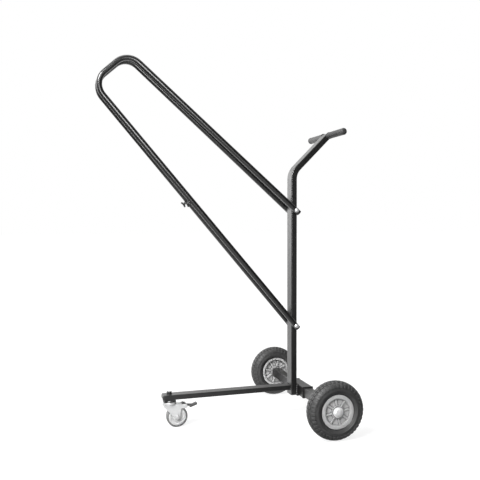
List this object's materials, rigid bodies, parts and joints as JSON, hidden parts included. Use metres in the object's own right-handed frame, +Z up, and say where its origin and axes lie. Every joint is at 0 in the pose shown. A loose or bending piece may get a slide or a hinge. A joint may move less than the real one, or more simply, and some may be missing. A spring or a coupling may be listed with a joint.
{
  "type": "music stand cart",
  "caption": "Wheeled steel trolley: an upright post with a T handle and slanted parallel tube loops that music stands hang between, on large rear wheels and a braked front caster.",
  "frame": {"origin": "on the floor, under the middle of the cart's box", "axes": "+X along the cart from the caster towards the handle, +Y across it to the far wheel, +Z up"},
  "size_m": [0.87, 0.6556, 1.3024],
  "materials": {
    "black_paint": "satin black powder coat with a fine orange-peel texture",
    "rail_paint": "smooth satin black powder coat",
    "zinc_steel": "bright zinc plate",
    "dark_steel": "blackened steel",
    "plain_steel": "turned steel",
    "cap_chrome": "bright plated push-on cap",
    "black_plastic": "moulded black plastic",
    "grip_rubber": "soft dark grey rubber",
    "tyre_rubber": "matt dark grey rubber with block tread",
    "tube_rubber": "thin black rubber",
    "rim_plastic": "moulded light grey plastic",
    "caster_tread_rubber": "grey non-marking rubber",
    "caster_core_plastic": "moulded pale grey plastic",
    "pedal_plastic": "moulded dark grey plastic"
  },
  "bodies": {
    "frame": {"post_tube": "black_paint", "base_beam": "black_paint", "axle_mount_plate": "black_paint", "axle_center_tube": "black_paint", "axle_arm_near": "black_paint", "axle_arm_far": "black_paint", "handle_bar": "black_paint", "rail_loop_near": "rail_paint", "rail_loop_far": "rail_paint", "lower_rail_near": "rail_paint", "lower_rail_far": "rail_paint", "clamp_bosses": "rail_paint", "arm_fixing_screws": "zinc_steel", "axle_washers": "zinc_steel", "rail_bolts": "zinc_steel", "rail_bolt_washers": "zinc_steel", "rail_bolt_nuts": "zinc_steel", "kingpin": "zinc_steel", "swivel_cup": "zinc_steel", "kingpin_washer": "dark_steel", "kingpin_nut": "dark_steel", "stub_axle_near": "plain_steel", "stub_axle_far": "plain_steel", "rail_spigot_near": "plain_steel", "rail_spigot_far": "plain_steel", "axle_cap_near": "cap_chrome", "axle_cap_far": "cap_chrome", "post_foot_plug": "black_plastic", "beam_end_plug": "black_plastic", "arm_bush_near": "black_plastic", "arm_bush_far": "black_plastic", "arm_end_block_near": "black_plastic", "arm_end_block_far": "black_plastic", "rail_end_plugs": "black_plastic", "rail_saddles": "black_plastic", "caster_riser": "black_plastic", "grip_near": "grip_rubber", "grip_far": "grip_rubber"},
    "wheel_near": {"tyre_near": "tyre_rubber", "inner_tube_near": "tube_rubber", "rim_near": "rim_plastic", "hub_bearing_near": "plain_steel"},
    "wheel_far": {"tyre_far": "tyre_rubber", "inner_tube_far": "tube_rubber", "rim_far": "rim_plastic", "hub_bearing_far": "plain_steel"},
    "caster_swivel": {"caster_fork": "zinc_steel", "swivel_balls": "plain_steel", "caster_axle_bolt": "zinc_steel", "caster_axle_nut": "zinc_steel", "brake_pivot_pin": "zinc_steel"},
    "caster_wheel": {"caster_wheel_core": "caster_core_plastic", "caster_tread": "caster_tread_rubber", "caster_wheel_bush": "plain_steel"},
    "brake": {"brake_lever": "dark_steel", "brake_pedal_pad": "pedal_plastic"},
    "screw_near": {"wing_screw_near": "black_plastic"},
    "screw_far": {"wing_screw_far": "black_plastic"}
  },
  "joints": [
    {"name": "wheel_near_spin", "type": "hinge", "parent": "frame", "child": "wheel_near", "pos_m": [0.3195, -0.297, 0.1], "axis": [0, 1, 0], "continuous": true},
    {"name": "wheel_far_spin", "type": "hinge", "parent": "frame", "child": "wheel_far", "pos_m": [0.3195, 0.297, 0.1], "axis": [0, 1, 0], "continuous": true},
    {"name": "caster_swivel_turn", "type": "hinge", "parent": "frame", "child": "caster_swivel", "pos_m": [-0.1875, 0, 0.082], "axis": [0, 0, 1], "continuous": true},
    {"name": "caster_wheel_spin", "type": "hinge", "parent": "caster_swivel", "child": "caster_wheel", "pos_m": [-0.1605, 0, 0.038], "axis": [0, 1, 0], "continuous": true},
    {"name": "brake_press", "type": "hinge", "parent": "caster_swivel", "child": "brake", "pos_m": [-0.1315, 0, 0.075], "axis": [0, 1, 0], "range_deg": [0, 22]},
    {"name": "wing_screw_near_turn", "type": "hinge", "parent": "frame", "child": "screw_near", "pos_m": [-0.11018, -0.03028, 0.80849], "axis": [-0.7614, 0.0155, -0.6481], "range_deg": [0, 630]},
    {"name": "wing_screw_far_turn", "type": "hinge", "parent": "frame", "child": "screw_far", "pos_m": [-0.11018, 0.03028, 0.80849], "axis": [-0.7614, -0.0155, -0.6481], "range_deg": [0, 630]}
  ]
}
